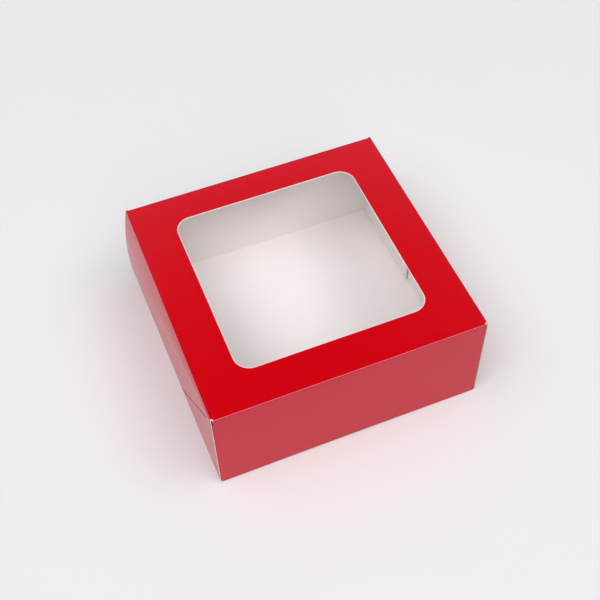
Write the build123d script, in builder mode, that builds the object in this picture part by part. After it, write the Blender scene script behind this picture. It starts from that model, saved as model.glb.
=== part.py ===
from build123d import *
import math
import os

# A hinged-lid window carton for sweets, folded from one sheet of paperboard and glued at six corners.
# The origin is under the middle of the box, +Z is up, the front faces -Y and the lid turns on its back edge.
# All sizes are in millimetres.

# Outside of the closed box
lid_width = 180.0
lid_depth = 176.0
box_height = 76.0

# Sheet stock and its folds
board = 0.4
film = 0.15
glue = 0.1
fold_radius = 0.9

# Running clearances between the lid, the tray and the table
lid_play = 0.4
hinge_play = 0.2
rim_play = 0.6
ground_play = 0.6

# Window in the lid's top panel, and the film stuck behind it
window_side_margin = 27.0
window_front_margin = 25.8
window_back_margin = 22.3
window_corner_radius = 10.5
film_overlap = 9.0
film_glue_inset = 2.5
film_glue_width = 4.0

# Tray corners: each web carries a tab beyond its collapse crease
# Both end a little short of a square, or of the side wall's middle where that is nearer
tray_tab_shortfall = 1.0
tray_tab_lift = 0.8
tray_rim_slope = 1.5

# The glue under each corner tab stays back from the tab's edges and crease
glue_setback = 7.0

# Lid corners: the front wall's tabs lie behind the gussets, below a slit that is open at each corner's top
lid_tab_setback = 16.0
lid_tab_lift = 1.0
crease_play = 0.05

# How far the lid's side walls stand outwards, at the gusset's foot, at the back edge's fullest and at its foot
gusset_foot_splay = 1.3
bulge = 4.8
bulge_depth = 48.0
back_foot_splay = 2.8
tip_length = 0.8

# Places worked out from the sizes above
half_width = lid_width / 2
front = -lid_depth / 2
back = lid_depth / 2
panel_underside = box_height - board
fold_line = box_height - fold_radius
lid_wall_drop = fold_line - ground_play
lid_tab_face = half_width - board - glue
tray_half_width = lid_tab_face - board - lid_play
tray_tab_face = tray_half_width - board - glue
tray_front = front + board + lid_play
tray_rim = panel_underside - glue - film - rim_play
tray_back_top = panel_underside - hinge_play
tray_wall_middle = (back - tray_front) / 2
tray_tab_length = min(box_height, tray_wall_middle) - tray_tab_shortfall
window_width = lid_width - 2 * window_side_margin
window_depth = lid_depth - window_front_margin - window_back_margin
window_middle = front + window_front_margin + window_depth / 2
side_reach = lid_depth - fold_radius
gusset_angle = math.atan2(gusset_foot_splay, lid_wall_drop)


def save(piece, name):
    """Label a finished piece and write it."""
    piece.part.label = name
    export_step(piece.part, f"parts/{name}.step")


def rectangle(plane, low, high):
    """Rectangle between two corners given in the plane's own axes."""
    with BuildSketch(plane) as outline:
        with Locations(((low[0] + high[0]) / 2, (low[1] + high[1]) / 2)):
            Rectangle(abs(high[0] - low[0]), abs(high[1] - low[1]))
    return outline.sketch


def polygon(plane, *corners):
    """Straight-sided outline through corners given in the plane's own axes."""
    with BuildSketch(plane) as outline:
        with BuildLine():
            Polyline(*corners, close=True)
        make_face()
    return outline.sketch


def fold_section(plane, centre, towards):
    """Section of a fold: the quarter ring round centre that lies on the side given by two signs."""
    across = Align.MIN if towards[0] > 0 else Align.MAX
    upward = Align.MIN if towards[1] > 0 else Align.MAX
    with BuildSketch(plane) as section:
        with Locations(centre):
            Circle(fold_radius)
            Circle(fold_radius - board, mode=Mode.SUBTRACT)
            Rectangle(fold_radius, fold_radius, align=(across, upward), mode=Mode.INTERSECT)
    return section.sketch


os.makedirs("parts", exist_ok=True)

# Tray floor
with BuildPart() as tray_floor:
    extrude(rectangle(
        Plane.XY,
        (fold_radius - tray_half_width, tray_front + fold_radius),
        (tray_half_width - fold_radius, back - fold_radius),
    ), amount=board)
save(tray_floor, "tray_floor")

# Tray front and back walls, with their folds to the floor and to the webs at both ends
tray_turn = tray_tab_face - fold_radius
for name, face, inward, top in (
    ("tray_front_wall", tray_front, 1, tray_rim),
    ("tray_back_wall", back, -1, tray_back_top),
):
    end_plane = Plane.YZ.offset(-tray_turn)
    fold_middle = face + inward * fold_radius
    with BuildPart() as tray_end:
        extrude(rectangle(end_plane, (face, fold_radius), (face + inward * board, top)), amount=2 * tray_turn)
        extrude(
            fold_section(end_plane, (fold_middle, fold_radius), (-inward, -1)),
            amount=2 * tray_turn,
        )
        for end in (-1, 1):
            extrude(
                fold_section(Plane.XY.offset(fold_radius), (end * tray_turn, fold_middle), (end, -inward)),
                amount=tray_rim - fold_radius,
            )
    save(tray_end, name)

# Tray side walls, whose cut edges lie flush with the front and back walls' faces
for name, side in (("tray_left_wall", -1), ("tray_right_wall", 1)):
    back_plane = Plane.XZ.offset(-back)
    with BuildPart() as tray_side:
        extrude(rectangle(
            back_plane,
            (side * tray_half_width, fold_radius),
            (side * (tray_half_width - board), tray_rim),
        ), amount=back - tray_front)
        extrude(
            fold_section(
                back_plane.offset(fold_radius),
                (side * (tray_half_width - fold_radius), fold_radius),
                (side, -1),
            ),
            amount=back - tray_front - 2 * fold_radius,
        )
    save(tray_side, name)

# Tray corners: a free web beside each end wall, the glued tab beyond its crease, and the glue under the tab
tab_floor = board + tray_tab_lift
for end_name, face, inward in (("front", tray_front, 1), ("back", back, -1)):
    root = face + inward * fold_radius
    tip = face + inward * tray_tab_length
    far = root + inward * (box_height + tray_tab_length)
    whole = polygon(
        Plane.YZ.offset(-tray_tab_face),
        (root, tab_floor),
        (root, tray_rim),
        (tip, tray_rim - tray_rim_slope),
        (tip, tab_floor),
    )
    below_crease = polygon(
        Plane.YZ.offset(-tray_tab_face),
        (root, tab_floor),
        (far, tab_floor + abs(far - root)),
        (far, tab_floor),
    )
    glue_tip = tip - inward * glue_setback
    glue_floor = tab_floor + glue_setback
    glue_rise = abs(glue_tip - root) - 2 * glue_setback
    glue_area = polygon(
        Plane.YZ.offset(-tray_tab_face - glue),
        (glue_tip - inward * glue_rise, glue_floor),
        (glue_tip, glue_floor + glue_rise),
        (glue_tip, glue_floor),
    )
    with BuildPart() as left_web:
        extrude(whole - below_crease, amount=board)
    with BuildPart() as left_tab:
        extrude(whole & below_crease, amount=board)
    with BuildPart() as left_glue:
        extrude(glue_area, amount=glue)
    for left_piece, kind in ((left_web, "web"), (left_tab, "tab"), (left_glue, "glue")):
        with BuildPart() as right_piece:
            mirror(left_piece.part, about=Plane.YZ)
        save(left_piece, f"tray_{end_name}_left_{kind}")
        save(right_piece, f"tray_{end_name}_right_{kind}")

# Lid top panel with its window
with BuildPart() as lid_top_panel:
    with BuildSketch(Plane.XY.offset(panel_underside)):
        with Locations((0, (front + fold_radius + back) / 2)):
            Rectangle(lid_width - 2 * fold_radius, back - front - fold_radius)
        with Locations((0, window_middle)):
            RectangleRounded(window_width, window_depth, window_corner_radius, mode=Mode.SUBTRACT)
    extrude(amount=board)
save(lid_top_panel, "lid_top_panel")

# Clear film behind the window, and the four lines of glue that hold it
with BuildPart() as window_film:
    with BuildSketch(Plane.XY.offset(panel_underside - glue - film)):
        with Locations((0, window_middle)):
            Rectangle(window_width + 2 * film_overlap, window_depth + 2 * film_overlap)
    extrude(amount=film)
save(window_film, "window_film")

glue_line = film_glue_inset + film_glue_width / 2
with BuildPart() as window_film_glue:
    with BuildSketch(Plane.XY.offset(panel_underside - glue)):
        with Locations(
            (0, window_middle - window_depth / 2 - glue_line),
            (0, window_middle + window_depth / 2 + glue_line),
        ):
            Rectangle(window_width, film_glue_width)
        with Locations(
            (-window_width / 2 - glue_line, window_middle),
            (window_width / 2 + glue_line, window_middle),
        ):
            Rectangle(film_glue_width, window_depth)
    extrude(amount=glue)
save(window_film_glue, "window_film_glue")

# Lid front wall, with its fold to the top panel and the folds to its two tabs
lid_turn = lid_tab_face - fold_radius
with BuildPart() as lid_front_wall:
    lid_end_plane = Plane.YZ.offset(-lid_turn)
    extrude(rectangle(lid_end_plane, (front, ground_play), (front + board, fold_line)), amount=2 * lid_turn)
    extrude(
        fold_section(lid_end_plane, (front + fold_radius, fold_line), (-1, 1)),
        amount=2 * lid_turn,
    )
    for end in (-1, 1):
        extrude(
            fold_section(
                Plane.XY.offset(ground_play + lid_tab_lift),
                (end * lid_turn, front + fold_radius),
                (end, -1),
            ),
            amount=lid_wall_drop - lid_tab_lift - lid_tab_setback,
        )
save(lid_front_wall, "lid_front_wall")

# Lid side corner, drawn on the plane of the left gusset, which turns out a little about the front corner
gusset_plane = Plane(
    origin=(-half_width, front + fold_radius, 0),
    x_dir=(-math.sin(gusset_angle), math.cos(gusset_angle), 0),
    z_dir=(math.cos(gusset_angle), math.sin(gusset_angle), 0),
)
tab_start = board * math.tan(gusset_angle)
tab_foot = ground_play + lid_tab_lift
lid_glue_rise = fold_line - lid_tab_setback - tab_foot - 3 * glue_setback
with BuildPart() as lid_left_gusset:
    extrude(polygon(
        gusset_plane,
        (-fold_radius, ground_play),
        (-fold_radius, fold_line),
        (0, fold_line - crease_play),
        (lid_wall_drop - crease_play, ground_play),
    ), amount=board)
with BuildPart() as lid_left_tab:
    extrude(polygon(
        gusset_plane.offset(board + glue),
        (tab_start, tab_foot),
        (tab_start, fold_line - lid_tab_setback),
        (fold_line - lid_tab_setback - tab_foot, tab_foot),
    ), amount=board)
with BuildPart() as lid_left_glue:
    extrude(polygon(
        gusset_plane.offset(board),
        (glue_setback, tab_foot + glue_setback),
        (glue_setback, tab_foot + glue_setback + lid_glue_rise),
        (glue_setback + lid_glue_rise, tab_foot + glue_setback),
    ), amount=glue)


def side_section(reach):
    """Section of the left side wall at a distance behind the lid's front corner.

    The wall hangs from the top fold and from the gusset's crease, which meet at that corner, so it bends as
    a cone about the corner and every section is the back edge's curve made smaller.
    """
    share = reach / side_reach
    crease_splay = gusset_foot_splay * side_reach / lid_wall_drop
    curve = (
        (0, 0),
        (bulge * share, bulge_depth * share),
        (back_foot_splay * share, lid_wall_drop * share),
    )
    crease = (crease_splay * share, reach)
    with BuildSketch(Plane.XZ.offset(-(front + fold_radius + reach))) as section:
        with BuildLine():
            for shift in (0, board):
                Spline(*((shift - half_width - out, fold_line - drop) for out, drop in curve))
                Line(
                    (shift - half_width - curve[-1][0], fold_line - curve[-1][1]),
                    (shift - half_width - crease[0], fold_line - crease[1]),
                )
            Line((-half_width, fold_line), (board - half_width, fold_line))
            Line(
                (-half_width - crease[0], fold_line - crease[1]),
                (board - half_width - crease[0], fold_line - crease[1]),
            )
        make_face()
    return section.sketch


# Lid left wall: the bulging sheet between the top fold and the gusset's crease, cut off level above the table
with BuildPart() as lid_left_wall:
    loft((side_section(tip_length), side_section(side_reach)), ruled=True)
    with Locations((-half_width, 0, ground_play)):
        Box(
            2 * lid_depth,
            2 * lid_depth,
            2 * lid_depth,
            align=(Align.CENTER, Align.CENTER, Align.MAX),
            mode=Mode.SUBTRACT,
        )
    extrude(
        fold_section(Plane.XZ.offset(-back), (fold_radius - half_width, fold_line), (-1, 1)),
        amount=side_reach,
    )

for left_piece, kind in (
    (lid_left_wall, "wall"),
    (lid_left_gusset, "gusset"),
    (lid_left_tab, "tab"),
    (lid_left_glue, "glue"),
):
    with BuildPart() as right_piece:
        mirror(left_piece.part, about=Plane.YZ)
    save(left_piece, f"lid_left_{kind}")
    save(right_piece, f"lid_right_{kind}")
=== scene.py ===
import logging
import math
from collections.abc import Callable, Iterable, Iterator, Sequence
from contextlib import contextmanager
from dataclasses import dataclass
from enum import Enum, IntEnum
from functools import reduce
from itertools import pairwise
from typing import ClassVar

import bmesh
import bpy
from mathutils import Matrix, Vector


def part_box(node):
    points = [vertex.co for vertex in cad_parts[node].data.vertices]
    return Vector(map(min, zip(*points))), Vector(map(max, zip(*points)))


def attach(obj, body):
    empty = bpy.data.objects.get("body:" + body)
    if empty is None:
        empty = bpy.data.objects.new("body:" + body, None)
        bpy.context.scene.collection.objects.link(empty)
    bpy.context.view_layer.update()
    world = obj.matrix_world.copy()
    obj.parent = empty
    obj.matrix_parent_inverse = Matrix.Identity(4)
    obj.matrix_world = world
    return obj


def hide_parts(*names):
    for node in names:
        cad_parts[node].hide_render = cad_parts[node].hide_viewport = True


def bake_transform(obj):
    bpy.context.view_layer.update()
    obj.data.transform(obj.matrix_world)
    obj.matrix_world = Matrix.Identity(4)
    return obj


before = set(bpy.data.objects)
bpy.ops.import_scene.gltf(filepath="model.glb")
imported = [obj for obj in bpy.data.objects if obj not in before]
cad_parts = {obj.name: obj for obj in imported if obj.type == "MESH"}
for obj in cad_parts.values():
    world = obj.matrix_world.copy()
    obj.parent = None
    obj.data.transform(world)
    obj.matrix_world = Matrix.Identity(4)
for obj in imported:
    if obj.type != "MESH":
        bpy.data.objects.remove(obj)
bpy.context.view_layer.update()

# Dresses a hinged-lid window carton for sweets: red coated board with a white back, folded and glued at six
# corners, with a clear film behind the window. Lengths are in metres and angles in degrees.

MM = 0.001
TOUCH = 0.002 * MM
SMOOTH_FOLD = 35
SHARP_EDGE = 50

log = logging.getLogger("sweet_box")

Colour = tuple[float, float, float]
Span = tuple[float, float] | None
Triple = Sequence[float]
Material = bpy.types.Material
Node = bpy.types.Node
Tree = bpy.types.NodeTree
Socket = bpy.types.NodeSocket


class Face(IntEnum):
    """The finish that a face of the board takes, which is its material slot on every board piece."""

    PRINTED = 0
    BACK = 1
    CUT = 2


class Body(Enum):
    """The bodies that pieces ride on."""

    TRAY = "tray"
    LID = "lid"


class Slot(Enum):
    """The record's material slots that go with the modelled pieces."""

    LID_BOARD = "lid_board"
    TRAY_BOARD = "tray_board"
    FILM = "clear_film"


def direction(azimuth: float, elevation: float) -> Vector:
    """Point from the carton towards a place round it.

    Args:
        azimuth: 0 in front of the carton and 90 to its right.
        elevation: Degrees above the table.

    Returns:
        A unit vector.
    """
    around, above = math.radians(azimuth), math.radians(elevation)
    return Vector((
        math.sin(around) * math.cos(above),
        -math.cos(around) * math.cos(above),
        math.sin(above),
    ))


def deselect() -> None:
    """Leave edit mode and select nothing."""
    if bpy.context.object is not None and bpy.context.object.mode != "OBJECT":
        bpy.ops.object.mode_set(mode="OBJECT")
    bpy.ops.object.select_all(action="DESELECT")


@dataclass(frozen=True)
class Zone:
    """A box to choose corners, edges and faces by. An axis that is left open takes any place."""

    x: Span = None
    y: Span = None
    z: Span = None

    def __call__(self, point: Vector) -> bool:
        """Tell whether a point lies in the zone."""
        spans = zip(point, (self.x, self.y, self.z))
        return all(span is None or span[0] - TOUCH <= place <= span[1] + TOUCH for place, span in spans)


@dataclass(frozen=True)
class Carton:
    """Faces, folds and stock of the closed carton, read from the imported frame."""

    board: float
    fold: float
    side: float
    front: float
    back: float
    top: float
    lid_foot: float
    lid_turn: float
    lid_tab_foot: float
    lid_tab_top: float
    tray_side: float
    tray_front: float
    tray_rim: float
    tray_tab_face: float
    lap: float = 1.0 * MM
    soft_edge: float = 0.07 * MM

    @classmethod
    def measured(cls) -> "Carton":
        """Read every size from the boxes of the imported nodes.

        Returns:
            The carton's sizes.
        """
        panel_low, panel_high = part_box("lid_top_panel")
        wall_low, wall_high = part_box("lid_front_wall")
        tab_low, tab_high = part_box("lid_left_tab")
        tray_low, tray_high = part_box("tray_right_wall")
        end_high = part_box("tray_back_wall")[1]
        fold = panel_low.y - wall_low.y
        return cls(
            board=panel_high.z - panel_low.z,
            fold=fold,
            side=panel_high.x + fold,
            front=wall_low.y,
            back=panel_high.y,
            top=panel_high.z,
            lid_foot=wall_low.z,
            lid_turn=wall_high.x - fold,
            lid_tab_foot=tab_low.z,
            lid_tab_top=tab_high.z,
            tray_side=tray_high.x,
            tray_front=tray_low.y,
            tray_rim=tray_high.z,
            tray_tab_face=end_high.x,
        )

    @property
    def fold_line(self) -> float:
        """Height at which the lid's walls start below their top folds."""
        return self.top - self.fold

    @property
    def corner(self) -> Vector:
        """Front end of the left side crease, where the lid's corner creases meet."""
        return Vector((-self.side, self.front + self.fold, self.fold_line))


class Sheet:
    """A panel on the bench, which is a surface without thickness until thicken is called."""

    def __init__(self, name: str, piece: bpy.types.Object, outward: Triple) -> None:
        """Take a mesh object as a sheet.

        Args:
            name: The piece's name, for the object and its mesh.
            piece: The object.
            outward: The axis that the printed face looks along.
        """
        self.piece = piece
        self.outward = Vector(outward)
        piece.name = name
        piece.data.name = name

    @classmethod
    def flat(cls, name: str, low: Triple, high: Triple, outward: Triple) -> "Sheet":
        """Lay a flat rectangle between two corners.

        Args:
            name: The piece's name.
            low: Lowest corner, level with the highest along the outward axis.
            high: Highest corner.
            outward: The axis that the printed face looks along.

        Returns:
            The sheet.
        """
        turn = Vector(outward).to_track_quat("Z", "Y")
        span = turn.inverted() @ (Vector(high) - Vector(low))
        deselect()
        bpy.ops.mesh.primitive_plane_add(
            size=1, location=(Vector(low) + Vector(high)) / 2, rotation=turn.to_euler()
        )
        sheet = cls(name, bpy.context.object, outward)
        sheet.piece.scale = (abs(span.x), abs(span.y), 1)
        bpy.ops.object.transform_apply(location=True, rotation=True, scale=True)
        return sheet

    def hold(self) -> None:
        """Select this piece alone and make it the active one."""
        deselect()
        bpy.context.view_layer.objects.active = self.piece
        self.piece.select_set(True)

    @contextmanager
    def editing(self) -> Iterator[None]:
        """Hold the piece in edit mode, with all of it selected, for the length of a with block."""
        self.hold()
        bpy.ops.object.mode_set(mode="EDIT")
        bpy.ops.mesh.select_all(action="SELECT")
        yield
        bpy.ops.object.mode_set(mode="OBJECT")

    def pick(self, holds: Callable[[Vector], bool], kind: str = "EDGE", sharper: float = -1.0) -> None:
        """Select what lies wholly inside a zone, in edit mode.

        Args:
            holds: Test that every corner of an item has to pass.
            kind: VERT or EDGE.
            sharper: Least angle, in degrees, between the two faces at an edge.
        """
        bpy.ops.mesh.select_mode(type=kind)
        bpy.ops.mesh.select_all(action="DESELECT")
        work = bmesh.from_edit_mesh(self.piece.data)
        for item in work.verts if kind == "VERT" else work.edges:
            corners = [item] if kind == "VERT" else item.verts
            if not all(holds(corner.co) for corner in corners):
                continue
            if sharper < 0 or math.degrees(item.calc_face_angle(0)) > sharper:
                item.select_set(True)
        bmesh.update_edit_mesh(self.piece.data)

    def bend(
        self,
        holds: Callable[[Vector], bool],
        centre: Triple,
        axis: Triple,
        degrees: float = 90.0,
        steps: int = 7,
    ) -> None:
        """Turn edges round a fold's middle line, which leaves a rounded fold behind them.

        Args:
            holds: Test for the edges.
            centre: A point of the middle line.
            axis: The middle line's direction.
            degrees: Angle of the fold, right-handed about the axis.
            steps: Number of flats in the fold.
        """
        with self.editing():
            self.pick(holds)
            bpy.ops.mesh.spin(steps=steps, angle=-math.radians(degrees), center=centre, axis=axis)

    def extend(self, holds: Callable[[Vector], bool], offset: Triple) -> None:
        """Draw edges out by an offset, with new faces behind them."""
        with self.editing():
            self.pick(holds)
            bpy.ops.mesh.extrude_region_move(TRANSFORM_OT_translate={"value": offset})

    def cut(self, point: Triple, normal: Triple, drop: bool = False) -> None:
        """Cut along a plane.

        Args:
            point: A point of the plane.
            normal: The plane's normal.
            drop: Whether what lies on the normal's side falls away.
        """
        with self.editing():
            bpy.ops.mesh.bisect(plane_co=point, plane_no=normal, clear_outer=drop)

    def score(self, axis: int, places: Sequence[float]) -> None:
        """Cut across one axis, 0 to 2, at several places, so that the sheet can bend there."""
        for place in places:
            self.cut([place if n == axis else 0 for n in range(3)], [float(n == axis) for n in range(3)])

    def round_corner(self, holds: Callable[[Vector], bool], radius: float, steps: int = 6) -> None:
        """Round off the corners in a zone."""
        with self.editing():
            self.pick(holds, kind="VERT")
            bpy.ops.mesh.bevel(offset=radius, segments=steps, affect="VERTICES")

    def shape(self, move: Callable[[Vector], Vector]) -> None:
        """Move every corner of the mesh to where a function of its place puts it."""
        for corner in self.piece.data.vertices:
            corner.co = move(corner.co.copy())

    def settle(self) -> None:
        """Merge doubles and turn every face of the open sheet to the outward side."""
        with self.editing():
            bpy.ops.mesh.remove_doubles(threshold=TOUCH)
            bpy.ops.mesh.normals_make_consistent(inside=False)
        facing = sum(face.area * face.normal.dot(self.outward) for face in self.piece.data.polygons)
        if facing < 0:
            with self.editing():
                bpy.ops.mesh.flip_normals()

    def thicken(self, thickness: float, finishes: Sequence[Material]) -> None:
        """Give the sheet its finishes, in the order of Face, and its thickness behind the printed face."""
        self.settle()
        for finish in finishes:
            self.piece.data.materials.append(finish)
        stock = self.piece.modifiers.new("stock", "SOLIDIFY")
        stock.thickness = thickness
        stock.offset = -1
        stock.use_even_offset = True
        stock.material_offset = Face.BACK
        stock.material_offset_rim = Face.CUT
        self.apply(stock)

    def apply(self, modifier: bpy.types.Modifier) -> None:
        """Apply one modifier to the mesh."""
        self.hold()
        bpy.ops.object.modifier_apply(modifier=modifier.name)

    def soften(self, holds: Callable[[Vector], bool], width: float) -> None:
        """Take the sharpness off cut edges in a zone."""
        with self.editing():
            self.pick(holds, sharper=SHARP_EDGE)
            bpy.ops.mesh.bevel(offset=width, segments=2, affect="EDGES")

    def mirrored(self, name: str) -> "Sheet":
        """Copy the sheet to the other side of the carton.

        Args:
            name: The copy's name.

        Returns:
            The copy, with a mesh of its own.
        """
        piece = self.piece.copy()
        piece.data = self.piece.data.copy()
        bpy.context.scene.collection.objects.link(piece)
        twin = Sheet(name, piece, (-self.outward.x, self.outward.y, self.outward.z))
        with twin.editing():
            bpy.ops.transform.resize(value=(-1, 1, 1), center_override=(0, 0, 0))
        return twin

    def shade(self) -> None:
        """Smooth the folds and keep the cut edges sharp."""
        self.hold()
        bpy.ops.object.shade_smooth_by_angle(angle=math.radians(SMOOTH_FOLD))
        weighted = self.piece.modifiers.new("weighted", "WEIGHTED_NORMAL")
        weighted.keep_sharp = True
        self.apply(weighted)

    def hand_over(self, body: Body, slot: Slot, *nodes: str) -> None:
        """Let the finished piece ride on its body in the place of CAD nodes.

        Args:
            body: The body that carries it.
            slot: Not used.
            nodes: The nodes that it stands for.
        """
        self.shade()
        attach(self.piece, body.value)
        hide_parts(*nodes)
        log.info("%s: %d faces, for %s", self.piece.name, len(self.piece.data.polygons), ", ".join(nodes))


class Graph:
    """Adds shader nodes to one tree and links them as it goes."""

    def __init__(self, tree: Tree) -> None:
        """Work on a node tree."""
        self.tree = tree

    def feed(self, node: Node, inputs: dict) -> Node:
        """Give a node's inputs their values or sockets, by input name or number, and return the node."""
        for name, value in inputs.items():
            if isinstance(value, Socket):
                self.tree.links.new(value, node.inputs[name])
            else:
                node.inputs[name].default_value = value
        return node

    def add(self, kind: str, inputs: dict | None = None, **settings: object) -> Node:
        """Add a node.

        Args:
            kind: The node's type name, without the ShaderNode in front.
            inputs: Values and sockets to feed it, by input name or number.
            settings: Attributes of the node itself.

        Returns:
            The new node.
        """
        node = self.tree.nodes.new("ShaderNode" + kind)
        for name, value in settings.items():
            setattr(node, name, value)
        return self.feed(node, inputs or {})

    def math(self, operation: str, *values: object, clamp: bool = False) -> Socket:
        """Add a Math node and return its output."""
        return self.add("Math", dict(enumerate(values)), operation=operation, use_clamp=clamp).outputs[0]

    def chain(self, operation: str, values: Iterable[Socket]) -> Socket:
        """Join several values by one operation and return the result's socket."""
        return reduce(lambda first, second: self.math(operation, first, second), values)

    def total(self, base: object, *parts: tuple[Socket, float]) -> Socket:
        """Add shares of several values to a base and return the sum's socket."""
        for value, share in parts:
            base = self.math("ADD", base, self.math("MULTIPLY", value, share))
        return base

    def vector(self, operation: str, *values: object) -> Socket:
        """Add a Vector Math node and return its vector."""
        return self.add("VectorMath", dict(enumerate(values)), operation=operation).outputs["Vector"]

    def measure(self, operation: str, *values: object) -> Socket:
        """Add a Vector Math node and return its value."""
        return self.add("VectorMath", dict(enumerate(values)), operation=operation).outputs["Value"]

    def ramp(
        self, value: object, low: float, high: float, out_low: float = 0.0, out_high: float = 1.0
    ) -> Socket:
        """Map a value smoothly from one range to another and return the result's socket."""
        inputs = {"Value": value, "From Min": low, "From Max": high, "To Min": out_low, "To Max": out_high}
        return self.add("MapRange", inputs, interpolation_type="SMOOTHSTEP").outputs["Result"]

    def noise(self, place: Socket, size: float, detail: float = 3.0, rough: float = 0.5) -> Socket:
        """Add noise whose largest features are about size across and return its value's socket."""
        inputs = {"Vector": place, "Scale": 1 / size, "Detail": detail, "Roughness": rough}
        return self.add("TexNoise", inputs).outputs["Fac"]

    def mix(self, share: object, first: object, second: object) -> Socket:
        """Mix two colours by a share and return the colour's socket."""
        first, second = (part if isinstance(part, Socket) else (*part, 1) for part in (first, second))
        return self.add("Mix", {0: share, 6: first, 7: second}, data_type="RGBA").outputs[2]

    def group(self, effect: Tree, inputs: dict) -> Node:
        """Place a shared effect with its own values."""
        return self.add("Group", inputs, node_tree=effect)


class Effects:
    """Node groups that several of the carton's finishes share."""

    crack_size: float = 1.1 * MM
    patch_size: float = 9 * MM
    crack_share: float = 0.65
    crack_sharpness: float = 7.0
    crack_fade: float = 0.6
    fibre_stretch: Triple = (1.0, 0.45, 1.0)
    mottle_size: float = 14 * MM

    def __init__(self) -> None:
        """Build each effect once."""
        self.line = self.build_line()
        self.wear = self.build_wear()
        self.grain = self.build_grain()

    @staticmethod
    def start(
        name: str, vectors: Sequence[str], floats: Sequence[str], gives: Sequence[str]
    ) -> tuple[Graph, dict, Node]:
        """Begin a node group.

        Args:
            name: The group's name.
            vectors: Names of its vector inputs.
            floats: Names of its float inputs.
            gives: Names of its outputs, all floats.

        Returns:
            The group's graph, its input sockets by name, and its output node.
        """
        tree = bpy.data.node_groups.new(name, "ShaderNodeTree")
        sorts = (vectors, "INPUT", "Vector"), (floats, "INPUT", "Float"), (gives, "OUTPUT", "Float")
        for labels, way, kind in sorts:
            for label in labels:
                tree.interface.new_socket(label, in_out=way, socket_type="NodeSocket" + kind)
        inside, outside = tree.nodes.new("NodeGroupInput"), tree.nodes.new("NodeGroupOutput")
        return Graph(tree), {label: inside.outputs[label] for label in (*vectors, *floats)}, outside

    def build_line(self) -> Tree:
        """Distance from a straight crease or edge between two points.

        Returns:
            The node group.
        """
        graph, takes, gives = self.start("distance to a line", ("Place", "Start", "End"), (), ("Distance",))
        along = graph.vector("SUBTRACT", takes["End"], takes["Start"])
        offset = graph.vector("SUBTRACT", takes["Place"], takes["Start"])
        reach = graph.measure("DOT_PRODUCT", offset, along)
        share = graph.math("DIVIDE", reach, graph.measure("DOT_PRODUCT", along, along), clamp=True)
        scaled = graph.add("VectorMath", {0: along, "Scale": share}, operation="SCALE").outputs["Vector"]
        graph.feed(gives, {"Distance": graph.measure("DISTANCE", offset, scaled)})
        return graph.tree

    def build_wear(self) -> Tree:
        """Broken line of bare board where the coating has cracked beside a crease or chipped at an edge.

        Returns:
            The node group.
        """
        floats = ("Distance", "Width", "Cover")
        graph, takes, gives = self.start("cracked coating", ("Place",), floats, ("Mask",))
        fine = graph.noise(takes["Place"], self.crack_size, detail=2.0)
        coarse = graph.noise(takes["Place"], self.patch_size, detail=1.0)
        both = graph.total(graph.math("MULTIPLY", fine, self.crack_share), (coarse, 1 - self.crack_share))
        over = graph.math("SUBTRACT", both, graph.math("SUBTRACT", 1.0, takes["Cover"]))
        broken = graph.math("MULTIPLY", over, self.crack_sharpness, clamp=True)
        away = graph.math("DIVIDE", takes["Distance"], takes["Width"])
        soft = graph.ramp(graph.math("SUBTRACT", 1.0, away, clamp=True), 0.0, self.crack_fade)
        graph.feed(gives, {"Mask": graph.math("MULTIPLY", broken, soft)})
        return graph.tree

    def build_grain(self) -> Tree:
        """Fine tooth and slow mottle of paper fibre.

        Returns:
            The node group.
        """
        graph, takes, gives = self.start("paper grain", ("Place",), ("Fibre",), ("Tooth", "Mottle"))
        stretched = graph.vector("MULTIPLY", takes["Place"], self.fibre_stretch)
        scale = graph.math("DIVIDE", 1.0, takes["Fibre"])
        inputs = {"Vector": stretched, "Scale": scale, "Detail": 5.0, "Roughness": 0.62}
        tooth = graph.add("TexNoise", inputs).outputs["Fac"]
        mottle = graph.noise(takes["Place"], self.mottle_size, detail=4.0, rough=0.6)
        graph.feed(gives, {"Tooth": tooth, "Mottle": mottle})
        return graph.tree


@dataclass(frozen=True)
class Line:
    """A crease or a cut edge between two points."""

    start: Triple
    end: Triple

    def flipped(self) -> "Line":
        """The same line on the other side of the carton."""
        (a, b, c), (d, e, f) = self.start, self.end
        return Line((-a, b, c), (-d, e, f))


def on_both_sides(*lines: Line) -> list[Line]:
    """Lines on the left and their mirror images on the right."""
    return [*lines, *(line.flipped() for line in lines)]


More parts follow.
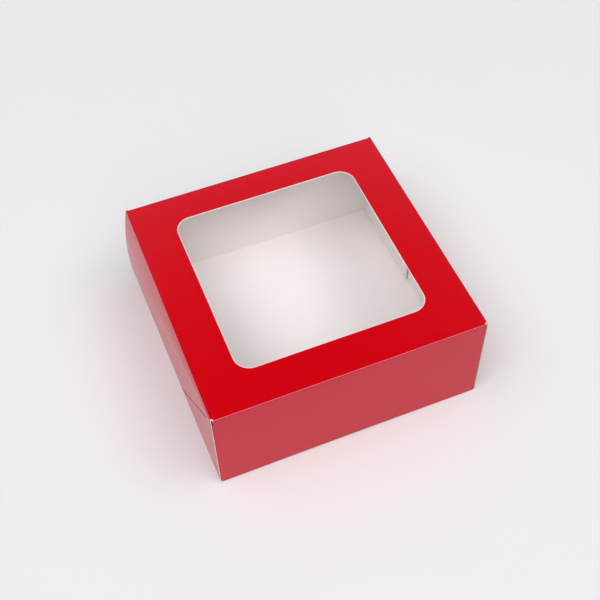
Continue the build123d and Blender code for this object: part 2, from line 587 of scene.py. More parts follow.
class Finish:
    """A material, begun empty with a Principled shader and object coordinates."""

    def __init__(self, name: str, effects: Effects | None = None) -> None:
        """Start the material.

        Args:
            name: The material's name.
            effects: The node groups to draw on, if any.
        """
        self.material = bpy.data.materials.new(name)
        self.material.use_nodes = True
        self.material.node_tree.nodes.clear()
        self.effects = effects
        self.graph = Graph(self.material.node_tree)
        self.place = self.graph.add("TexCoord").outputs["Object"]
        self.shader = self.graph.add("BsdfPrincipled")
        self.graph.add("OutputMaterial", {"Surface": self.shader.outputs["BSDF"]})

    def set(self, **values: object) -> None:
        """Set the shader's inputs, whose names are given with underscores for spaces."""
        self.graph.feed(self.shader, {name.replace("_", " "): value for name, value in values.items()})

    def nearest(self, lines: Sequence[Line]) -> Socket:
        """Distance to the nearest of several lines.

        Args:
            lines: The creases or edges.

        Returns:
            The distance's socket.
        """
        ends = [{"Place": self.place, "Start": line.start, "End": line.end} for line in lines]
        groups = [self.graph.group(self.effects.line, inputs) for inputs in ends]
        return self.graph.chain("MINIMUM", (group.outputs["Distance"] for group in groups))

    def wear(self, distance: Socket, width: float, cover: float) -> Socket:
        """Mask of cracked or chipped coating along a distance."""
        inputs = {"Place": self.place, "Distance": distance, "Width": width, "Cover": cover}
        return self.graph.group(self.effects.wear, inputs).outputs["Mask"]

    def bump(self, height: Socket, reach: float, under: Socket | None = None) -> Socket:
        """Turn a height, times reach in metres, into a normal and return its socket."""
        inputs = {"Height": height, "Distance": reach} | ({} if under is None else {"Normal": under})
        return self.graph.add("Bump", inputs).outputs["Normal"]


@dataclass(frozen=True)
class CoatedRed:
    """Red ink under a satin coating on smooth board."""

    ink: Colour = (0.61, 0.0, 0.003)
    ink_deep: Colour = (0.585, 0.0, 0.002)
    # Painted shade: darker ink for a band beside each fold's crack, where the crease's shadow falls.
    ink_in_crease_shade: Colour = (0.30, 0.0, 0.004)
    # Painted shade: nearly black ink down the middle of the diagonal grooves.
    ink_in_groove_shade: Colour = (0.10, 0.0, 0.002)
    crack: Colour = (0.90, 0.10, 0.13)
    sheen: Colour = (1.0, 0.5, 0.95)
    chip: Colour = (0.93, 0.82, 0.80)
    fibre: float = 0.35 * MM
    crack_width: float = 0.28 * MM
    crack_cover: float = 0.74
    # Where the painted shade band beside a crack starts, is full, fades and ends, in crack widths.
    crease_shade_band: Sequence[float] = (1.0, 1.8, 2.4, 3.4)
    groove_floor: float = 0.05 * MM
    groove_width: float = 0.8 * MM
    groove_depth: float = 0.35 * MM
    # How strongly the painted groove shade darkens the ink; it also sets how much rougher the groove is.
    groove_shade_strength: float = 0.9
    chip_width: float = 0.30 * MM
    chip_cover: float = 0.66
    tip_width: float = 1.4 * MM
    tip_cover: float = 0.95
    ring_width: float = 1.8 * chip_width
    ring_cover: float = 0.9
    roughness: float = 0.19
    tooth_roughness: float = 0.05
    bare_roughness: float = 0.35
    groove_roughness: float = 0.5
    wave: float = 28 * MM
    wave_height: float = 0.05 * MM
    tooth_height: float = 0.002 * MM
    ior: float = 1.5

    def material(
        self,
        name: str,
        effects: Effects,
        creases: Sequence[Line],
        grooves: Sequence[Line],
        edges: Sequence[Line],
        tips: Sequence[Line] = (),
        window: "Window | None" = None,
    ) -> Material:
        """Build the printed face's material.

        Args:
            name: The material's name.
            effects: The shared node groups.
            creases: Folds along which the coating has cracked, with a band of painted shade beside each
                crack.
            grooves: Creases in flat board, which show as a groove with painted shade down its middle.
            edges: Cut edges along which the coating has chipped.
            tips: Corners that are worn bare, each a line without length.
            window: The window whose cut edge shows white, if there is one.

        Returns:
            The material.
        """
        finish = Finish(name, effects)
        graph = finish.graph
        grain = graph.group(effects.grain, {"Place": finish.place, "Fibre": self.fibre})
        ink = graph.mix(grain.outputs["Mottle"], self.ink, self.ink_deep)
        crease = finish.nearest(creases)
        cracked = finish.wear(crease, self.crack_width, self.crack_cover)
        # Painted shade: a band of darker ink just beside each fold's crack.
        starts, full, fades, ends = (self.crack_width * share for share in self.crease_shade_band)
        outer = graph.ramp(crease, fades, ends, 1.0, 0.0)
        crease_shade_mask = graph.math("MULTIPLY", graph.ramp(crease, starts, full), outer)
        colour = graph.mix(crease_shade_mask, ink, self.ink_in_crease_shade)
        colour = graph.mix(cracked, colour, self.crack)
        # Painted shade: darker ink down each groove in flat board, which also makes the coating rougher
        # there.
        groove = graph.ramp(finish.nearest(grooves), self.groove_floor, self.groove_width, -1.0, 0.0)
        groove_shade_mask = graph.math("MULTIPLY", groove, -self.groove_shade_strength)
        colour = graph.mix(groove_shade_mask, colour, self.ink_in_groove_shade)
        worn = [finish.wear(finish.nearest(edges), self.chip_width, self.chip_cover)]
        if tips:
            worn.append(finish.wear(finish.nearest(tips), self.tip_width, self.tip_cover))
        if window is not None:
            worn.append(finish.wear(window.distance(finish), self.ring_width, self.ring_cover))
        chipped = graph.chain("MAXIMUM", worn)
        colour = graph.mix(chipped, colour, self.chip)
        bare = graph.math("MAXIMUM", cracked, chipped)
        tooth = grain.outputs["Tooth"]
        parts = (tooth, self.tooth_roughness), (bare, self.bare_roughness), (groove_shade_mask, self.groove_roughness)
        wave = finish.bump(graph.noise(finish.place, self.wave, detail=1.0), self.wave_height)
        creased = finish.bump(groove, self.groove_depth, under=wave)
        finish.set(
            Base_Color=colour,
            Roughness=graph.total(self.roughness, *parts),
            Normal=finish.bump(tooth, self.tooth_height, under=creased),
            IOR=self.ior,
            Specular_Tint=(*self.sheen, 1),
        )
        return finish.material


@dataclass(frozen=True)
class WhiteBack:
    """Uncoated white back of the board, faintly pink all over: partly its own tone and partly a painted pink
    for the red light that glows through the print.
    """

    # Both tones carry the painted pink that stands in part for red light coming through the print.
    white: Colour = (0.945, 0.90, 0.895)
    shade: Colour = (0.93, 0.88, 0.875)
    shade_limits: Span = (0.1, 0.5)
    fibre: float = 0.22 * MM
    roughness: float = 0.62
    uneven: float = 0.2
    tooth_height: float = 0.012 * MM

    def material(self, effects: Effects) -> Material:
        """Build the back's material and return it."""
        finish = Finish("board_back", effects)
        graph = finish.graph
        grain = graph.group(effects.grain, {"Place": finish.place, "Fibre": self.fibre})
        tooth = grain.outputs["Tooth"]
        blend = graph.math("MULTIPLY", grain.outputs["Mottle"], tooth)
        colour = graph.mix(graph.ramp(blend, *self.shade_limits), self.white, self.shade)
        finish.set(
            Base_Color=colour,
            Roughness=graph.total(self.roughness, (tooth, self.uneven)),
            Normal=finish.bump(tooth, self.tooth_height),
        )
        return finish.material


@dataclass(frozen=True)
class CutEdge:
    """Raw fibre along the die-cut edges, stained pink in places by the ink."""

    fibre: Colour = (0.93, 0.87, 0.85)
    stain: Colour = (0.80, 0.42, 0.42)
    streak_size: float = 0.5 * MM
    streak_height: float = 0.04 * MM
    patch_size: float = 5 * MM
    patch_limits: Span = (0.5, 0.72)
    patch_share: float = 0.4
    dash_size: float = 1.6 * MM
    dash_limits: Span = (0.5, 0.58)
    dash_share: float = 0.8
    rub_full: float = 1.5 * MM
    rub_reach: float = 2.5 * MM
    roughness: float = 0.7
    uneven: float = 0.2

    def material(self, effects: Effects, rubbed: Sequence[Line]) -> Material:
        """Build the cut edge's material.

        Args:
            effects: The shared node groups.
            rubbed: Edges that rub on the ink beside them, which leaves dashes of it.

        Returns:
            The material.
        """
        finish = Finish("board_cut_edge", effects)
        graph = finish.graph
        streak = graph.noise(finish.place, self.streak_size, detail=5.0, rough=0.7)
        patch = graph.noise(finish.place, self.patch_size, detail=2.0)
        dashes = graph.ramp(graph.noise(finish.place, self.dash_size, detail=0.0), *self.dash_limits)
        near = graph.ramp(finish.nearest(rubbed), self.rub_full, self.rub_reach, self.dash_share, 0.0)
        stain = graph.math("MULTIPLY", graph.ramp(patch, *self.patch_limits), self.patch_share)
        stain = graph.math("MAXIMUM", stain, graph.math("MULTIPLY", dashes, near))
        finish.set(
            Base_Color=graph.mix(stain, self.fibre, self.stain),
            Roughness=graph.total(self.roughness, (streak, self.uneven)),
            Normal=finish.bump(streak, self.streak_height),
        )
        return finish.material


@dataclass(frozen=True)
class ClearFilm:
    """Thin clear polyester that only shows by what it mirrors, with a few smudges."""

    tint: Colour = (0.95, 0.96, 0.97)
    ior: float = 1.6
    haze: float = 0.03
    ripple_size: float = 45 * MM
    ripple_height: float = 0.10 * MM
    smudge_size: float = 16 * MM
    smudge_limits: Span = (0.58, 0.8)
    roughness: float = 0.03
    smudge_roughness: float = 0.25

    def material(self, effects: Effects) -> Material:
        """Build the film's material and return it."""
        finish = Finish("polyester", effects)
        graph = finish.graph
        ripple = graph.noise(finish.place, self.ripple_size, detail=1.5)
        smudge = graph.noise(finish.place, self.smudge_size, detail=5.0, rough=0.65)
        smudge = graph.ramp(smudge, *self.smudge_limits)
        mirrored = graph.add("Fresnel", {"IOR": self.ior}).outputs["Fac"]
        inside = graph.add("NewGeometry").outputs["Backfacing"]
        entering = graph.math("SUBTRACT", 1.0, inside)
        veil = graph.math("MULTIPLY", smudge, self.haze)
        share = graph.math("MULTIPLY", graph.math("ADD", mirrored, veil), entering, clamp=True)
        finish.set(
            Base_Color=(*self.tint, 1),
            Metallic=1.0,
            Roughness=graph.total(self.roughness, (smudge, self.smudge_roughness)),
            Alpha=share,
            Normal=finish.bump(ripple, self.ripple_height),
        )
        return finish.material


@dataclass(frozen=True)
class DriedGlue:
    """Thin dried adhesive, yellowish and smeared."""

    pale: Colour = (0.82, 0.79, 0.70)
    thick: Colour = (0.72, 0.66, 0.52)
    smear_size: float = 3 * MM
    smear_limits: Span = (0.35, 0.7)
    smear_height: float = 0.05 * MM
    roughness: float = 0.3
    uneven: float = 0.2

    def material(self, effects: Effects) -> Material:
        """Build the glue's material and return it."""
        finish = Finish("adhesive", effects)
        graph = finish.graph
        smear = graph.noise(finish.place, self.smear_size, detail=4.0)
        finish.set(
            Base_Color=graph.mix(graph.ramp(smear, *self.smear_limits), self.pale, self.thick),
            Roughness=graph.total(self.roughness, (smear, self.uneven)),
            Normal=finish.bump(smear, self.smear_height),
        )
        return finish.material


@dataclass(frozen=True)
class Window:
    """The rounded opening in the lid, inside the film that is stuck behind it."""

    low: Vector
    high: Vector
    radius: float = 10.5 * MM

    @classmethod
    def measured(cls, overlap: float = 9.0 * MM) -> "Window":
        """Read the window from the film's box, less the film's overlap all round."""
        low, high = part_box("window_film")
        inset = Vector((overlap, overlap, 0))
        return cls(low + inset, high - inset)

    def touches(self, point: Vector) -> bool:
        """Tell whether a point lies on the rounded outline."""
        beyond = (max(self.low[n] - point[n], point[n] - self.high[n]) + self.radius for n in (0, 1))
        return abs(math.hypot(*(max(part, 0) for part in beyond)) - self.radius) < TOUCH

    def distance(self, finish: Finish) -> Socket:
        """Distance from the window's outline, in the plane of the panel.

        Args:
            finish: The material to build it in.

        Returns:
            The distance's socket, never below zero.
        """
        graph = finish.graph
        middle = (self.low + self.high) / 2
        straight = (self.high - self.low) / 2 - Vector((self.radius, self.radius, 0))
        offset = graph.vector("ABSOLUTE", graph.vector("SUBTRACT", finish.place, middle))
        beyond = graph.vector("MAXIMUM", graph.vector("SUBTRACT", offset, straight), (0, 0, 0))
        flat = graph.measure("LENGTH", graph.vector("MULTIPLY", beyond, (1, 1, 0)))
        return graph.math("ABSOLUTE", graph.math("SUBTRACT", flat, self.radius))


@dataclass
class Finishes:
    """All of the carton's materials. A diagonal crease shows no groove along its unpressed share."""

    lid: Material
    tray: Material
    back: Material
    cut: Material
    film: Material
    glue: Material
    unpressed: ClassVar[float] = 0.13
    tip_shift: ClassVar[Vector] = Vector((0.8, -0.2, 0.6)) * MM

    @classmethod
    def mixed(cls, carton: Carton, window: Window, splay: float) -> "Finishes":
        """Build every material for a carton of these sizes.

        Args:
            carton: The carton's sizes.
            window: Its window.
            splay: How far the foot of the lid's diagonal creases stands outside their top.

        Returns:
            The materials.
        """
        effects = Effects()
        side, front, back, foot = carton.side, carton.front, carton.back, carton.lid_foot
        on_fold = carton.fold * (1 - math.cos(math.radians(45)))
        high, near, far, out = carton.top - on_fold, front + on_fold, back - on_fold, side - on_fold
        creases = on_both_sides(Line((-out, near, high), (-out, far, high)))
        creases += [Line((-out, y, high), (out, y, high)) for y in (near, far)]
        reach = carton.fold_line - foot
        diagonal_foot = Vector((-side - splay, front + carton.fold + reach, foot))
        pressed_from = carton.corner.lerp(diagonal_foot, cls.unpressed)
        diagonals = on_both_sides(Line(tuple(pressed_from), tuple(diagonal_foot)))
        edges = on_both_sides(
            Line((-side, front, foot), (-side, front, carton.top)),
            Line((-side, front, foot), (-side, back, foot)),
            Line((-side, back, foot), (-side, back, carton.top)),
        )
        edges.append(Line((-side, front, foot), (side, front, foot)))
        rubbed = on_both_sides(Line((-side, front, foot), (-side, front, carton.top - 2 * carton.fold)))
        tip = tuple(carton.corner + cls.tip_shift)
        tips = on_both_sides(Line(tip, tip))
        wide, start, rim = carton.tray_side, carton.tray_front, carton.tray_rim
        folds = on_both_sides(Line((-wide, start, 0), (-wide, back, 0)))
        folds += [Line((-wide, y, 0), (wide, y, 0)) for y in (start, back)]
        posts = on_both_sides(*(Line((-wide, y, 0), (-wide, y, rim)) for y in (start, back)))
        face, rise = carton.tray_tab_face, rim - carton.fold
        webs = on_both_sides(*(
            Line((-face, y, carton.fold), (-face, y - math.copysign(rise, y), rim))
            for y in (start + carton.fold, back - carton.fold)
        ))
        return cls(
            lid=CoatedRed().material("lid_print", effects, creases, diagonals, edges, tips, window),
            tray=CoatedRed().material("tray_print", effects, folds, webs, posts),
            back=WhiteBack().material(effects),
            cut=CutEdge().material(effects, rubbed),
            film=ClearFilm().material(effects),
            glue=DriedGlue().material(effects),
        )

    def board(self, body: Body) -> tuple[Material, Material, Material]:
        """Printed face, back and cut edge for a body's board, in the order of Face."""
        return (self.lid if body is Body.LID else self.tray, self.back, self.cut)


@dataclass
class BoardPart:
    """What the lid and the tray have in common: stock, finishes and the way a panel is finished."""

    carton: Carton
    finishes: Finishes
    body: ClassVar[Body]
    slot: ClassVar[Slot]

    def finish_board(self, sheet: Sheet, nodes: Sequence[str], *cut_edges: Zone) -> None:
        """Thicken a panel, soften its cut edges and hand it over.

        Args:
            sheet: The panel.
            nodes: The CAD nodes that it stands for.
            cut_edges: Where the cut edges to soften lie.
        """
        sheet.thicken(self.carton.board, self.finishes.board(self.body))
        for zone in cut_edges:
            sheet.soften(zone, self.carton.soft_edge)
        sheet.hand_over(self.body, self.slot, *nodes)

    def finish_pair(self, left: Sheet, nodes: Sequence[str], *cut_edges: Zone) -> None:
        """Finish a left panel and its mirror image, whose names say right in the place of left."""
        right = left.mirrored(left.piece.name.replace("left", "right"))
        self.finish_board(left, nodes, *cut_edges)
        self.finish_board(right, [node.replace("left", "right") for node in nodes], *cut_edges)


@dataclass
class Lid(BoardPart):
    """The lid's panels: top with window, front wall, and side walls with their corner gussets."""

    window: Window
    bow: float = 0.8 * MM
    gusset_splay: float = 1.3 * MM
    bulge: float = 4.8 * MM
    bulge_depth: float = 48.0 * MM
    foot_splay: float = 2.8 * MM
    margin: float = 1.0 * MM
    row_shares: Sequence[float] = (0.9, 0.8, 0.7, 0.6, 0.5, 0.4, 0.3, 0.2, 0.1, 0.03)
    body: ClassVar[Body] = Body.LID
    slot: ClassVar[Slot] = Slot.LID_BOARD

    def build(self) -> None:
        """Make every panel of the lid."""
        c = self.carton
        self.top_panel()
        self.front_wall()
        ends = [Zone(y=(face - TOUCH, face + TOUCH)) for face in (c.back, c.front)]
        foot = Zone(z=(0, c.lid_foot + TOUCH))
        self.finish_pair(self.side_wall(), ["lid_left_wall", "lid_left_gusset"], foot, *ends)

    def top_panel(self) -> None:
        """Make the top panel as a ring between its outer edge and the rounded window."""
        c, w, margin = self.carton, self.window, self.margin
        sheet = Sheet.flat("lid_top", (w.low.x, w.low.y, c.top), (w.high.x, w.high.y, c.top), (0, 0, 1))
        sheet.round_corner(Zone(), w.radius, steps=12)
        inset = c.fold + c.lap
        side, front, back = c.side - inset, c.front + inset, c.back - inset
        middle = (0, (front + back) / 2, c.top)
        with sheet.editing():
            bpy.ops.mesh.delete(type="ONLY_FACE")
            bpy.ops.mesh.primitive_plane_add(size=1, location=middle)
            bpy.ops.transform.resize(value=(2 * side, back - front, 1), center_override=middle)
            bpy.ops.mesh.subdivide(number_cuts=12)
            bpy.ops.mesh.select_mode(type="FACE")
            bpy.ops.mesh.delete(type="ONLY_FACE")
        inner = Zone(x=(margin - side, side - margin), y=(front + margin, back - margin))
        with sheet.editing():
            sheet.pick(lambda place: inner(place) and not w.touches(place), kind="VERT")
            bpy.ops.mesh.delete(type="VERT")
            bpy.ops.mesh.select_mode(type="EDGE")
            bpy.ops.mesh.select_all(action="SELECT")
            bpy.ops.mesh.bridge_edge_loops()
        across, along = ((w.low[n] - margin, w.high[n] + margin) for n in (0, 1))
        self.finish_board(sheet, ["lid_top_panel"], Zone(x=across, y=along, z=(0, c.top)))

    def front_wall(self) -> None:
        """Make the front wall with its top fold, its corner folds and its slightly bowed lower edge."""
        c = self.carton
        turn, line = c.lid_turn, c.fold_line
        lap_end = c.side - c.fold - c.lap
        sheet = Sheet.flat("lid_front", (-turn, c.front, c.lid_foot), (turn, c.front, line), (0, -1, 0))
        sheet.score(0, [-lap_end, *(turn * n / 6 for n in range(-5, 6)), lap_end])
        slit = line - c.lid_tab_top
        sheet.score(2, [c.lid_tab_foot, *(c.lid_tab_top + slit * n / 5 for n in range(5))])
        sheet.bend(Zone(z=(line, line)), (0, c.front + c.fold, line), (1, 0, 0), -90)
        sheet.extend(Zone(x=(-lap_end, lap_end), z=(c.top, c.top)), (0, c.lap, 0))
        for way in (-1, 1):
            end = Zone(x=(way * turn, way * turn), y=(c.front, c.front), z=(c.lid_tab_foot, line))
            sheet.bend(end, (way * turn, c.front + c.fold, 0), (0, 0, 1), 90 * way)
        sheet.round_corner(Zone(x=(turn, turn), z=(c.lid_foot, c.lid_foot)), c.lid_tab_foot - c.lid_foot)

        def cut_to_shape(place: Vector) -> Vector:
            """Bow the lower edge, and cut the corner folds back along a slant above the tabs."""
            if place.z < c.lid_foot + TOUCH:
                place.z += self.bow * (1 - (place.x / turn) ** 2)
            beyond = abs(place.x) - turn
            if beyond > TOUCH and c.lid_tab_top < place.z <= line + TOUCH:
                bent = math.acos(max(1 - (place.y - c.front) / c.fold, 0))
                bent *= (line - place.z) / slit
                place.x = math.copysign(turn + c.fold * math.sin(bent), place.x)
                place.y = c.front + c.fold * (1 - math.cos(bent))
            return place

        sheet.shape(cut_to_shape)
        self.finish_board(sheet, ["lid_front_wall"], Zone(z=(0, c.lid_foot + self.bow)))

    def side_wall(self) -> Sheet:
        """Make the left side wall and its gusset as one creased sheet.

        The wall hangs from the top fold and from the gusset's crease, which meet at the front corner, so it
        bends as a cone about that corner. Its back edge is drawn first, then shrunk towards the corner row
        by row.

        Returns:
            The sheet, still without thickness.
        """
        c = self.carton
        corner, drop = c.corner, c.fold_line - c.lid_foot
        reach = c.back - corner.y
        level = self.bulge_depth / drop
        sag = (self.bulge - self.foot_splay * level) / (level * (1 - level))
        lean = self.foot_splay + sag
        deselect()
        bpy.ops.curve.primitive_bezier_curve_add(location=(0, 0, 0))
        curve = bpy.context.object
        curve.data.resolution_u = 20
        curve.data.dimensions = "3D"
        upper, lower = curve.data.splines[0].bezier_points
        outs = (0.0, lean / 3, (2 * lean - sag) / 3, self.foot_splay)
        places = [(-c.side - out, c.back, c.fold_line - drop * n / 3) for n, out in enumerate(outs)]
        for point in (upper, lower):
            point.handle_left_type = point.handle_right_type = "FREE"
        upper.handle_left, upper.co, upper.handle_right = places[0], places[0], places[1]
        lower.handle_left, lower.co, lower.handle_right = places[2], places[3], places[3]
        bpy.ops.object.convert(target="MESH")
        sheet = Sheet("lid_left_side", bpy.context.object, (-1, 0, 0))
        crease_out = self.gusset_splay * reach / drop
        below = Vector((self.foot_splay - crease_out, 0, drop - reach))
        foot = Zone(z=(c.lid_foot, c.lid_foot))
        with sheet.editing():
            sheet.pick(foot, kind="VERT")
            bpy.ops.mesh.extrude_region_move(TRANSFORM_OT_translate={"value": below})
            bpy.ops.mesh.select_all(action="SELECT")
            for last, share in pairwise((1.0, *self.row_shares)):
                bpy.ops.mesh.extrude_region()
                bpy.ops.transform.resize(value=(share / last,) * 3, center_override=corner)
            bpy.ops.mesh.extrude_region()
            bpy.ops.transform.resize(value=(0, 0, 0), center_override=corner)
            bpy.ops.mesh.merge(type="COLLAPSE")
        sheet.cut((0, 0, c.lid_foot), (0, 0, -1), drop=True)
        self.hang_gusset(sheet)
        sheet.bend(
            Zone(x=(-c.side, -c.side), y=(corner.y, c.back), z=(c.fold_line, c.fold_line)),
            (c.fold - c.side, 0, c.fold_line),
            (0, 1, 0),
        )
        sheet.extend(Zone(z=(c.top, c.top)), (c.lap, 0, 0))
        return sheet

    def hang_gusset(self, sheet: Sheet) -> None:
        """Draw the flat gusset down from the diagonal crease and forward to its cut front edge."""
        c = self.carton
        corner = c.corner

        def on_crease(place: Vector) -> bool:
            """Tell whether a place lies on the crease that runs down at 45 degrees from the corner."""
            return abs((corner.z - place.z) - (place.y - corner.y)) < TOUCH

        with sheet.editing():
            sheet.pick(on_crease)
            bpy.ops.mesh.extrude_region()
            bpy.ops.transform.resize(value=(1, 1, 0), center_override=(0, 0, c.lid_foot))
            bpy.ops.mesh.select_all(action="SELECT")
            bpy.ops.mesh.remove_doubles(threshold=TOUCH)
        front = Zone(x=(-c.side, -c.side), y=(corner.y, corner.y), z=(c.lid_foot, c.fold_line))
        sheet.extend(front, (0, -c.fold, 0))


@dataclass
class LidWindowFilm:
    """The clear film behind the window."""

    finishes: Finishes

    def build(self) -> None:
        """Make the film as one thin sheet just under the panel."""
        low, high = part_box("window_film")
        sheet = Sheet.flat("lid_film", (low.x, low.y, high.z), high, (0, 0, 1))
        sheet.score(0, [low.x / 2, 0, high.x / 2])
        sheet.thicken(high.z - low.z, [self.finishes.film])
        sheet.hand_over(Body.LID, Slot.FILM, "window_film")


@dataclass
class Tray(BoardPart):
    """The tray's panels: floor, four walls, and the webs and tabs folded in at its corners."""

    curl: float = 0.9 * MM
    curl_reach: float = 16.0 * MM
    curl_low: float = 0.6
    foot_gap: float = 0.8 * MM
    rim_slope: float = 1.5 * MM
    body: ClassVar[Body] = Body.TRAY
    slot: ClassVar[Slot] = Slot.TRAY_BOARD

    def build(self) -> None:
        """Make every panel of the tray."""
        c = self.carton
        self.floor()
        self.end_wall("front", c.tray_front, 1, c.tray_rim)
        self.end_wall("back", c.back, -1, c.fold_line - c.lap)
        self.finish_pair(self.side_wall(), ["tray_left_wall"], Zone(z=(c.tray_rim, c.tray_rim)))
        for end, face, inward in (("front", c.tray_front, 1), ("back", c.back, -1)):
            nodes = [f"tray_{end}_left_{flap}" for flap in ("web", "tab")]
            self.finish_pair(self.corner(end, face, inward), nodes, Zone())

    def floor(self) -> None:
        """Make the floor, which the walls' folds lap on all sides."""
        c = self.carton
        inset = c.fold + c.lap
        low = (inset - c.tray_side, c.tray_front + inset, 0)
        high = (c.tray_side - inset, c.back - inset, 0)
        sheet = Sheet.flat("tray_base", low, high, (0, 0, -1))
        with sheet.editing():
            bpy.ops.mesh.subdivide(number_cuts=7)
        self.finish_board(sheet, ["tray_floor"])

    def end_wall(self, end: str, face: float, inward: int, top: float) -> None:
        """Make the front or back wall with its floor fold and the folds to its corner webs.

        Args:
            end: Front or back.
            face: Where its printed face stands along the depth.
            inward: Sign of the way into the tray.
            top: Height of its upper edge.
        """
        c = self.carton
        turn = c.tray_tab_face - c.fold
        lap_end = c.tray_side - c.fold - c.lap
        middle = face + inward * c.fold
        sheet = Sheet.flat(f"tray_{end}", (-turn, face, c.fold), (turn, face, top), (0, -inward, 0))
        sheet.score(0, [-lap_end, 0, lap_end])
        post_top = min(top, c.tray_rim)
        sheet.score(2, [c.tray_rim / 2, post_top])
        sheet.bend(Zone(z=(c.fold, c.fold)), (0, middle, c.fold), (1, 0, 0), 90 * inward)
        sheet.extend(Zone(x=(-lap_end, lap_end), z=(0, 0)), (0, inward * c.lap, 0))
        for way in (-1, 1):
            post = Zone(x=(way * turn, way * turn), y=(face, face), z=(c.fold, post_top))
            sheet.bend(post, (way * turn, middle, 0), (0, 0, 1), 90 * way * inward)
        rims = [Zone(z=(top, top))] if inward > 0 else []
        self.finish_board(sheet, [f"tray_{end}_wall"], *rims)

    def side_wall(self) -> Sheet:
        """Make the left side wall with its floor fold.

        Returns:
            The sheet, still without thickness.
        """
        c = self.carton
        x = -c.tray_side
        sheet = Sheet.flat("tray_left_side", (x, c.tray_front, c.fold), (x, c.back, c.tray_rim), (-1, 0, 0))
        sheet.score(1, [c.tray_front + c.fold, 0, c.back - c.fold])
        floor_edge = Zone(y=(c.tray_front + c.fold, c.back - c.fold), z=(c.fold, c.fold))
        sheet.bend(floor_edge, (x + c.fold, 0, c.fold), (0, 1, 0), -90)
        sheet.extend(Zone(z=(0, 0)), (c.lap, 0, 0))
        return sheet

    def corner(self, end: str, face: float, inward: int) -> Sheet:
        """Make the left web and tab of one end as one sheet whose free edge curls inwards.

        Args:
            end: Front or back.
            face: Where the end wall's printed face stands along the depth.
            inward: Sign of the way into the tray.

        Returns:
            The sheet, still without thickness.
        """
        c = self.carton
        tab_low, tab_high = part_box(f"tray_{end}_left_tab")
        root = face + inward * c.fold
        tip = tab_high.y if inward > 0 else tab_low.y
        x, foot = -c.tray_tab_face, c.board + self.foot_gap
        low, high = (x, min(root, tip), foot), (x, max(root, tip), c.tray_rim)
        sheet = Sheet.flat(f"tray_{end}_left_corner", low, high, (-1, 0, 0))
        slope = Vector((0, inward * self.rim_slope, abs(tip - root)))
        sheet.cut((x, root, c.tray_rim), slope, drop=True)
        sheet.cut((x, root, foot), (0, -inward, 1))
        sheet.score(1, [tip - inward * self.curl_reach * n / 6 for n in range(1, 7)])
        sheet.score(2, [c.tray_rim * n / 5 for n in range(1, 5)])

        def curled(place: Vector) -> Vector:
            """Lift the tab's free edge off the side wall."""
            near = 1 - abs(tip - place.y) / self.curl_reach
            if near > 0:
                lift = self.curl_low + (1 - self.curl_low) * place.z / c.tray_rim
                place.x += self.curl * near ** 2 * lift
            return place

        sheet.shape(curled)
        return sheet


@dataclass
class BackFold:
    """The strip of board in the crease that the lid turns on."""

    carton: Carton
    finishes: Finishes

    def build(self) -> None:
        """Make the rounded strip between the tray and the lid, on neither body."""
        c = self.carton
        half = c.side - c.fold - c.lap
        start = c.fold_line - c.lap
        sheet = Sheet.flat("back_fold", (-half, c.back, start), (half, c.back, c.fold_line), (0, 1, 0))
        sheet.score(0, [half * n / 4 for n in range(-3, 4)])
        line = Zone(z=(c.fold_line, c.fold_line))
        sheet.bend(line, (0, c.back - c.fold, c.fold_line), (1, 0, 0), steps=12)
        sheet.extend(Zone(z=(c.top, c.top)), (0, -c.lap, 0))
        sheet.thicken(c.board, self.finishes.board(Body.LID))
        sheet.shade()
        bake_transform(sheet.piece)
        log.info("%s: bends between the tray and the lid", sheet.piece.name)


@dataclass
class HiddenPieces:
    """CAD nodes whose shape is right, which only take a finish: the glue and the lid's corner tabs."""

    finishes: Finishes
    flat_facing: float = 0.7

    def build(self) -> None:
        """Dress every such node."""
        for name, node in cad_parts.items():
            if name.endswith("glue"):
                self.dress(node, [self.finishes.glue])
        for side, way in (("left", -1), ("right", 1)):
            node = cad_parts[f"lid_{side}_tab"]
            self.dress(node, self.finishes.board(Body.LID))
            for face in node.data.polygons:
                facing = face.normal.x * way
                broad = Face.PRINTED if facing > 0 else Face.BACK
                face.material_index = broad if abs(facing) > self.flat_facing else Face.CUT

    @staticmethod
    def dress(node: bpy.types.Object, finishes: Sequence[Material]) -> None:
        """Swap a node's materials for others."""
        node.data.materials.clear()
        for finish in finishes:
            node.data.materials.append(finish)
        log.info("%s: dressed", node.name)


@dataclass(frozen=True)
class Softbox:
    """A square area lamp aimed at the carton."""

    name: str
    azimuth: float
    elevation: float
    watts: float
    distance: float = 7.0
    width: float = 4.0

    def hang(self) -> None:
        """Add the lamp."""
        deselect()
        bpy.ops.object.light_add(type="AREA")
        lamp = bpy.context.object
        lamp.name = self.name
        lamp.data.energy = self.watts
        lamp.data.size = self.width
        towards = direction(self.azimuth, self.elevation)
        lamp.location = towards * self.distance
        lamp.rotation_euler = towards.to_track_quat("Z", "Y").to_euler()
        log.info("%s: %.1f W", self.name, self.watts)


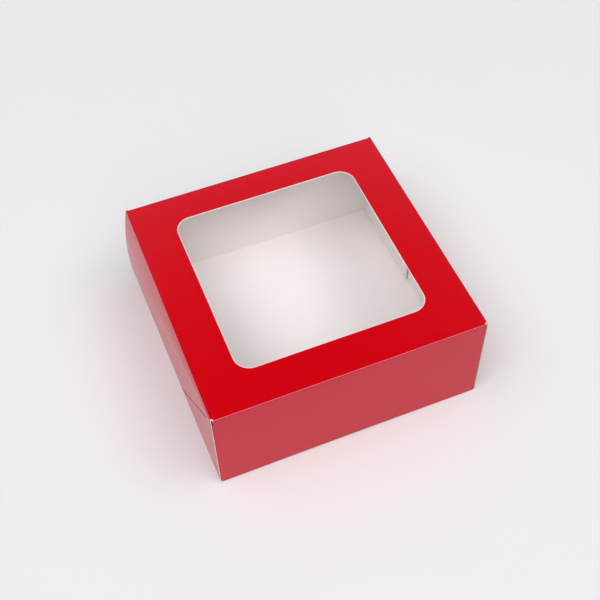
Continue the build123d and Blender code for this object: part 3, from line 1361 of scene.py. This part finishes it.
@dataclass
class Studio:
    """Camera, table, room and lamps."""

    azimuth: float = -20.434
    elevation: float = 53.239
    roll: float = -1.852
    distance: float = 720.5 * MM
    aim_right: float = -0.6 * MM
    aim_up: float = 22.87 * MM
    lens: float = 61.72
    sensor: float = 36.0
    nearest_seen: float = 10 * MM
    floor_reach: float = 3.0
    floor_colour: Colour = (0.783, 0.785, 0.80)
    floor_roughness: float = 0.75
    mottle_size: float = 0.2
    mottle_tone: float = 0.985
    ambient: float = 1.03
    dim_below: float = 28.0
    full_above: float = 48.0
    dark_azimuth: float = 158.0
    dark_elevation: float = 63.0
    dark_reach: float = 13.0
    dark_fade: float = 19.0
    lamps: Sequence[Softbox] = (
        Softbox("left_softbox", -90, 60, 61.0),
        Softbox("front_left_softbox", -50, 60, 142.0),
        Softbox("front_softbox", 0, 40, 84.0),
        Softbox("front_right_softbox", 50, 60, 118.0),
    )

    def build(self) -> None:
        """Set up everything that isn't the carton."""
        self.camera()
        self.floor()
        for lamp in self.lamps:
            lamp.hang()
        self.room()
        bpy.context.scene.view_settings.view_transform = "Standard"

    def room(self) -> None:
        """Fill the room with soft light from the ceiling, except for a dark part of it behind the carton.

        The lower part of the room lights nothing, but it shows pale behind the table and in what mirrors it.
        """
        world = bpy.data.worlds.new("room")
        bpy.context.scene.world = world
        world.use_nodes = True
        world.node_tree.nodes.clear()
        graph = Graph(world.node_tree)
        sight = graph.vector("NORMALIZE", graph.add("TexCoord").outputs["Generated"])
        dark = tuple(direction(self.dark_azimuth, self.dark_elevation))
        near, far = math.cos(math.radians(self.dark_fade)), math.cos(math.radians(self.dark_reach))
        ceiling = graph.ramp(graph.measure("DOT_PRODUCT", sight, dark), near, far, self.ambient, 0.0)
        low, high = math.sin(math.radians(self.dim_below)), math.sin(math.radians(self.full_above))
        height = graph.add("SeparateXYZ", {0: sight}).outputs["Z"]
        rays = graph.add("LightPath").outputs
        mirrored = graph.math("MAXIMUM", rays["Is Glossy Ray"], rays["Is Transmission Ray"])
        seen = graph.math("MAXIMUM", rays["Is Camera Ray"], mirrored)
        share = graph.math("MAXIMUM", graph.ramp(height, low, high), seen)
        background = graph.add("Background", {"Strength": graph.math("MULTIPLY", ceiling, share)})
        graph.add("OutputWorld", {"Surface": background.outputs["Background"]})

    def camera(self) -> None:
        """Stand the camera where a fit to the photographed corners puts it."""
        back = direction(self.azimuth, self.elevation)
        around = math.radians(self.azimuth)
        right = Vector((math.cos(around), math.sin(around), 0))
        up = back.cross(right)
        roll = math.radians(self.roll)
        rolled_right = right * math.cos(roll) + up * math.sin(roll)
        rolled_up = up * math.cos(roll) - right * math.sin(roll)
        aim = rolled_right * self.aim_right + rolled_up * self.aim_up
        deselect()
        bpy.ops.object.camera_add()
        camera = bpy.context.object
        camera.name = "camera"
        place = Matrix((rolled_right, rolled_up, back)).transposed().to_4x4()
        place.translation = aim + back * self.distance
        camera.matrix_world = place
        camera.data.lens = self.lens
        camera.data.sensor_width = self.sensor
        camera.data.clip_start = self.nearest_seen
        bpy.context.scene.camera = camera

    def floor(self) -> None:
        """Lay the table top, of matt pale paper with a faint mottle."""
        paper = Finish("floor_paper")
        mottle = paper.graph.noise(paper.place, self.mottle_size)
        darker = tuple(self.mottle_tone * part for part in self.floor_colour)
        colour = paper.graph.mix(mottle, self.floor_colour, darker)
        paper.set(Base_Color=colour, Roughness=self.floor_roughness)
        deselect()
        bpy.ops.mesh.primitive_plane_add(size=2 * self.floor_reach)
        floor = bpy.context.object
        floor.name = "floor"
        floor.data.materials.append(paper.material)


def main() -> None:
    """Build the carton's looks and the studio around it."""
    logging.basicConfig(level=logging.INFO, format="%(name)s %(message)s")
    carton = Carton.measured()
    window = Window.measured()
    finishes = Finishes.mixed(carton, window, Lid.gusset_splay)
    Lid(carton, finishes, window).build()
    LidWindowFilm(finishes).build()
    Tray(carton, finishes).build()
    BackFold(carton, finishes).build()
    HiddenPieces(finishes).build()
    Studio().build()


if __name__ == "__main__":
    main()
